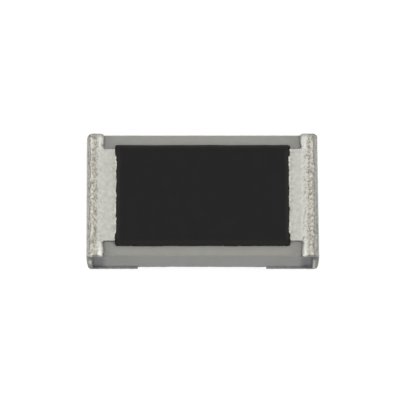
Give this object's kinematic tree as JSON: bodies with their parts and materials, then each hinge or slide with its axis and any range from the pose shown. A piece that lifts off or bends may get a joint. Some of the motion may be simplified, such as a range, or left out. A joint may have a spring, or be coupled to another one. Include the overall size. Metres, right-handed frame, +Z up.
{
  "type": "smd chip resistor",
  "caption": "Small flat surface-mount resistor: a ceramic slab with a black resin coat over its resistive film and tin-plated C-shaped end terminations for soldering to a board.",
  "frame": {"origin": "centre of the chip's outer box, which is also the middle of the ceramic slab and the point it is picked and placed by", "axes": "+X along the chip towards the right termination, +Z up out of the coated face, solder side at -Z"},
  "size_m": [0.0016, 0.0008, 0.0004],
  "materials": {
    "alumina": "fine matte, as fired",
    "black_resin": "satin",
    "matte_tin": "matte electroplate, fine pebbled grain",
    "nickel": "satin electroplate",
    "fired_silver": "matte fired print",
    "end_conductor": "matte",
    "resistor_film": "matte fired print",
    "trim_glass": "clear fired glass"
  },
  "bodies": {
    "root": {"ceramic_substrate": "alumina", "top_electrode_left": "fired_silver", "top_electrode_right": "fired_silver", "bottom_electrode_left": "fired_silver", "bottom_electrode_right": "fired_silver", "resistive_element": "resistor_film", "glass_coat": "trim_glass", "overcoat": "black_resin", "end_electrode_left": "end_conductor", "end_electrode_right": "end_conductor", "nickel_barrier_left": "nickel", "nickel_barrier_right": "nickel", "tin_plating_left": "matte_tin", "tin_plating_right": "matte_tin"}
  },
  "joints": []
}
